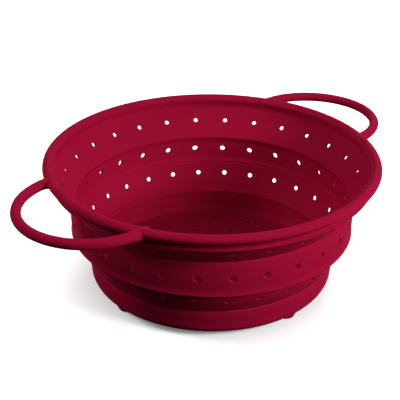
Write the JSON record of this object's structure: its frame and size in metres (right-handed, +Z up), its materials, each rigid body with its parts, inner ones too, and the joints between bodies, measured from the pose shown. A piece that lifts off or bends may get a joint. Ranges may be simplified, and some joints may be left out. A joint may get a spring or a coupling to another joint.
{
  "type": "collapsible colander",
  "caption": "Round collapsible silicone colander that folds flat in two stages, with drain holes, small feet and two loop handles at its rim bead.",
  "frame": {"origin": "on the table, at the centre of the footprint, under the middle of the bowl; the feet's bottoms are at z = 0", "axes": "+Z up, +X along the line through the two handles, +Y across it"},
  "size_m": [0.321, 0.2414, 0.0969],
  "materials": {
    "red_silicone": "matt",
    "steel_wire": "drawn"
  },
  "bodies": {
    "base": {"foot_right": "red_silicone", "foot_back": "red_silicone", "foot_left": "red_silicone", "foot_front": "red_silicone", "base_floor": "red_silicone", "base_wall": "red_silicone"},
    "middle": {"lower_fold_wall": "red_silicone", "middle_band": "red_silicone"},
    "rim": {"upper_fold_wall": "red_silicone", "rim_lip": "red_silicone", "rim_bead": "red_silicone", "rim_wire_ring": "steel_wire", "handle_right_sleeve": "red_silicone", "handle_right_wire": "steel_wire", "handle_left_sleeve": "red_silicone", "handle_left_wire": "steel_wire"}
  },
  "joints": [
    {"name": "lower_fold", "type": "slide", "parent": "base", "child": "middle", "axis": [0, 0, -1], "range_m": [0, 0.0396], "deforming": ["lower_fold_wall"]},
    {"name": "upper_fold", "type": "slide", "parent": "middle", "child": "rim", "axis": [0, 0, -1], "range_m": [0, 0.028], "deforming": ["upper_fold_wall"]}
  ]
}
